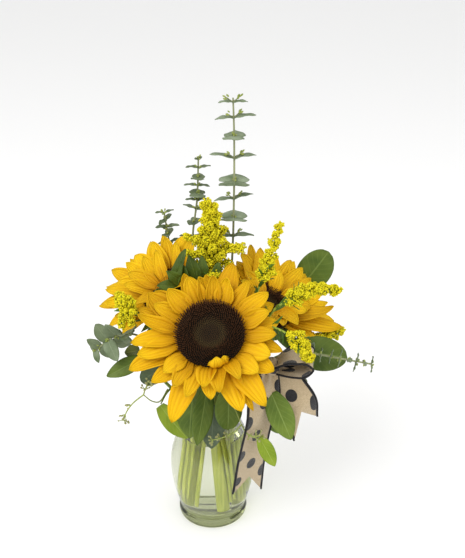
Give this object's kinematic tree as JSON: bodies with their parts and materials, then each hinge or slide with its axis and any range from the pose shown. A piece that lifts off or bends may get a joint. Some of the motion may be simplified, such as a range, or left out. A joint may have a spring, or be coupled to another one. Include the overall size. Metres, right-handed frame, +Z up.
{
  "type": "sunflowers in a glass vase",
  "caption": "Hand-tied sunflowers with goldenrod, eucalyptus and broad leaves in a footed clear glass vase of water, finished with a spotted fabric bow.",
  "frame": {"origin": "middle of the vase's flat underside, on the surface it stands on", "axes": "+Z up, -Y towards the side that the front sunflower faces, +X to the side with the bow"},
  "size_m": [0.2814, 0.2085, 0.4456],
  "materials": {
    "glass": "gloss",
    "water": "gloss",
    "ribbon": "matte",
    "pick": "matte",
    "disc": "matte",
    "bract": "matte",
    "petal_inner": "satin",
    "petal_outer": "satin",
    "flower_stem": "satin",
    "foliage_stem": "satin",
    "twig": "matte",
    "leaf": "satin",
    "leaf_lime": "satin",
    "leaf_dark": "satin",
    "leaf_grey": "matte",
    "leaf_olive": "satin",
    "eucalyptus": "matte",
    "goldenrod": "matte"
  },
  "bodies": {
    "root": {"vase": "glass", "front_disc": "disc", "front_bract_cup": "bract", "left_disc": "disc", "left_bract_cup": "bract", "right_disc": "disc", "right_bract_cup": "bract", "front_stem": "flower_stem", "left_stem": "flower_stem", "right_stem": "flower_stem", "front_petals_inner": "petal_inner", "front_petals_outer": "petal_outer", "left_petals_inner": "petal_inner", "left_petals_outer": "petal_outer", "right_petals_inner": "petal_inner", "right_petals_outer": "petal_outer", "ribbon_knot": "ribbon", "ribbon_loop_right": "ribbon", "ribbon_loop_left": "ribbon", "ribbon_tail_long": "ribbon", "ribbon_tail_short": "ribbon", "ribbon_pick": "pick", "foliage_stem_front": "foliage_stem", "foliage_stem_left": "foliage_stem", "foliage_stem_right": "foliage_stem", "foliage_stem_back": "foliage_stem", "leaf_front_wide": "leaf", "leaf_front_long": "leaf", "leaf_front_round": "leaf", "leaf_over_rim": "leaf_dark", "leaf_lime_left": "leaf_lime", "leaf_left": "leaf", "leaf_left_round": "leaf_dark", "leaf_olive": "leaf_olive", "leaf_right_big": "leaf", "leaf_right_grey": "leaf_grey", "leaf_right_front": "leaf", "leaf_right_low": "leaf", "leaf_back_round": "leaf", "leaf_blade_right": "leaf_grey", "eucalyptus_tall": "eucalyptus", "eucalyptus_back": "eucalyptus", "eucalyptus_left_back": "eucalyptus", "eucalyptus_left_drooping": "eucalyptus", "eucalyptus_right": "eucalyptus", "goldenrod_tall": "goldenrod", "goldenrod_upright": "goldenrod", "goldenrod_right": "goldenrod", "goldenrod_low_right": "goldenrod", "goldenrod_right_back": "goldenrod", "goldenrod_left": "goldenrod", "goldenrod_middle": "goldenrod", "budded_twig_left": "twig", "budded_twig_front": "twig", "leaf_lime_right": "leaf_lime", "water": "water"}
  },
  "joints": []
}
